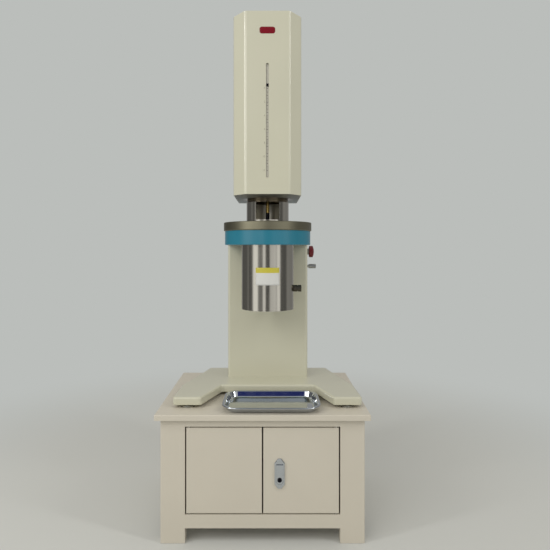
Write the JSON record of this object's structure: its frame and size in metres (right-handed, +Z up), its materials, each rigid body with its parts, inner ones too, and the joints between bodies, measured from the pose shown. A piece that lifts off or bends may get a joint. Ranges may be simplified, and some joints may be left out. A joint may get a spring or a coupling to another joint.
{
  "type": "capillary rheometer",
  "caption": "Floor-standing capillary rheometer: heated barrel under a round head, window tube and tall drive tower, on a two-door cabinet.",
  "frame": {"origin": "middle of the footprint, on the floor", "axes": "+Z up, +X to the machine's right as seen from the front, -Y to the front"},
  "size_m": [0.632, 0.5, 1.56],
  "materials": {
    "cabinet_paint": "fine powder coat, satin",
    "machine_paint": "smooth cream enamel",
    "blue_paint": "gloss enamel",
    "turned_steel": "turned and brushed",
    "polished_steel": "polished stainless",
    "machined_steel": "machined",
    "ground_steel": "ground",
    "zinc_plate": "satin chrome plate",
    "black_steel": "black oxide",
    "bronze": "drawn",
    "aluminium": "machined",
    "heater_metal": "stainless band",
    "wool": "mineral wool",
    "motor_black": "motor enamel",
    "belt_rubber": "matt",
    "red_plastic": "moulded",
    "grey_plastic": "moulded",
    "black_plastic": "moulded",
    "scale_white": "ivory sheet"
  },
  "bodies": {
    "frame": {"cabinet_top": "cabinet_paint", "front_stile_left": "cabinet_paint", "front_stile_right": "cabinet_paint", "rear_posts": "cabinet_paint", "front_top_rail": "cabinet_paint", "front_bottom_rail": "cabinet_paint", "side_panel_left": "cabinet_paint", "side_panel_right": "cabinet_paint", "back_panel": "cabinet_paint", "cabinet_floor": "cabinet_paint", "door_pivots": "machined_steel", "base_casting": "machine_paint", "column_beam": "machined_steel", "column_cover": "machine_paint", "column_rear_panel": "machine_paint", "power_inlet": "black_plastic", "estop_collar": "grey_plastic", "head_casting": "blue_paint", "flange_plate": "turned_steel", "flange_bolts": "machined_steel", "barrel": "machined_steel", "die": "ground_steel", "die_nut": "machined_steel", "heater_bands": "heater_metal", "insulation": "wool", "heater_jacket": "polished_steel", "sensor_gland": "machined_steel", "window_tube": "polished_steel", "drive_base_plate": "machined_steel", "drive_back_plate": "machined_steel", "drive_top_plate": "machined_steel", "drive_cover": "machine_paint", "drive_rear_panel": "machine_paint", "drive_lid": "machine_paint", "scale_strip": "scale_white", "guide_rods": "ground_steel", "screw_bearings": "machined_steel", "servo_motor": "motor_black", "drive_belt": "belt_rubber"},
    "left_door": {"door_left": "cabinet_paint"},
    "right_door": {"door_right": "cabinet_paint", "handle_plate": "zinc_plate"},
    "paddle": {"handle_paddle": "zinc_plate"},
    "lock": {"lock_cylinder": "black_steel", "lock_cam": "zinc_plate"},
    "tray": {"sample_tray": "polished_steel"},
    "foot_front_left": {"levelling_foot_front_left": "machined_steel"},
    "foot_front_right": {"levelling_foot_front_right": "machined_steel"},
    "foot_rear_left": {"levelling_foot_rear_left": "machined_steel"},
    "foot_rear_right": {"levelling_foot_rear_right": "machined_steel"},
    "stop_button": {"estop_button": "red_plastic"},
    "knob": {"jog_knob": "aluminium"},
    "carriage": {"crosshead": "aluminium", "screw_nut": "bronze", "pointer": "black_steel", "load_cell": "machined_steel", "piston_rod": "bronze", "piston_head": "black_steel"},
    "screw": {"lead_screw": "ground_steel"},
    "motor_shaft": {"motor_pulley": "aluminium"}
  },
  "joints": [
    {"name": "left_door_swing", "type": "hinge", "parent": "frame", "child": "left_door", "pos_m": [-0.216, -0.229, 0.213], "axis": [0, 0, -1], "range_deg": [0, 105]},
    {"name": "right_door_swing", "type": "hinge", "parent": "frame", "child": "right_door", "pos_m": [0.216, -0.229, 0.213], "axis": [0, 0, 1], "range_deg": [0, 105]},
    {"name": "paddle_lift", "type": "hinge", "parent": "right_door", "child": "paddle", "pos_m": [0.05, -0.236, 0.23], "axis": [-1, 0, 0], "range_deg": [0, 35]},
    {"name": "lock_turn", "type": "hinge", "parent": "right_door", "child": "lock", "pos_m": [0.05, -0.235, 0.187], "axis": [0, 1, 0], "range_deg": [0, 90]},
    {"name": "tray_lift", "type": "slide", "parent": "frame", "child": "tray", "axis": [0, 0, 1], "range_m": [0, 0.15]},
    {"name": "front_left_foot_turn", "type": "hinge", "parent": "frame", "child": "foot_front_left", "pos_m": [-0.23, -0.165, 0.39], "axis": [0, 0, 1], "range_deg": [-180, 180]},
    {"name": "front_right_foot_turn", "type": "hinge", "parent": "frame", "child": "foot_front_right", "pos_m": [0.258, -0.165, 0.39], "axis": [0, 0, 1], "range_deg": [-180, 180]},
    {"name": "rear_left_foot_turn", "type": "hinge", "parent": "frame", "child": "foot_rear_left", "pos_m": [-0.176, 0.165, 0.39], "axis": [0, 0, 1], "range_deg": [-180, 180]},
    {"name": "rear_right_foot_turn", "type": "hinge", "parent": "frame", "child": "foot_rear_right", "pos_m": [0.204, 0.165, 0.39], "axis": [0, 0, 1], "range_deg": [-180, 180]},
    {"name": "stop_press", "type": "slide", "parent": "frame", "child": "stop_button", "axis": [-1, 0, 0], "range_m": [0, 0.005], "stiffness_N_per_m": 1500, "springref_m": -0.001},
    {"name": "knob_turn", "type": "hinge", "parent": "frame", "child": "knob", "pos_m": [0.1555, 0.12, 0.8], "axis": [1, 0, 0], "range_deg": [-150, 150]},
    {"name": "crosshead_slide", "type": "slide", "parent": "frame", "child": "carriage", "axis": [0, 0, -1], "range_m": [-0.05, 0.235]},
    {"name": "screw_turn", "type": "hinge", "parent": "frame", "child": "screw", "pos_m": [0.014, 0.002, 1.2], "axis": [0, 0, 1], "range_deg": [-1800, 8460]},
    {"name": "motor_turn", "type": "hinge", "parent": "frame", "child": "motor_shaft", "pos_m": [0.014, -0.15, 1.42], "axis": [0, 0, 1], "range_deg": [-3600, 16920]}
  ],
  "couplings": [
    {"joint": "screw_turn", "follows": "crosshead_slide", "rad_per_m": 628.32},
    {"joint": "motor_turn", "follows": "crosshead_slide", "rad_per_m": 1256.6}
  ]
}
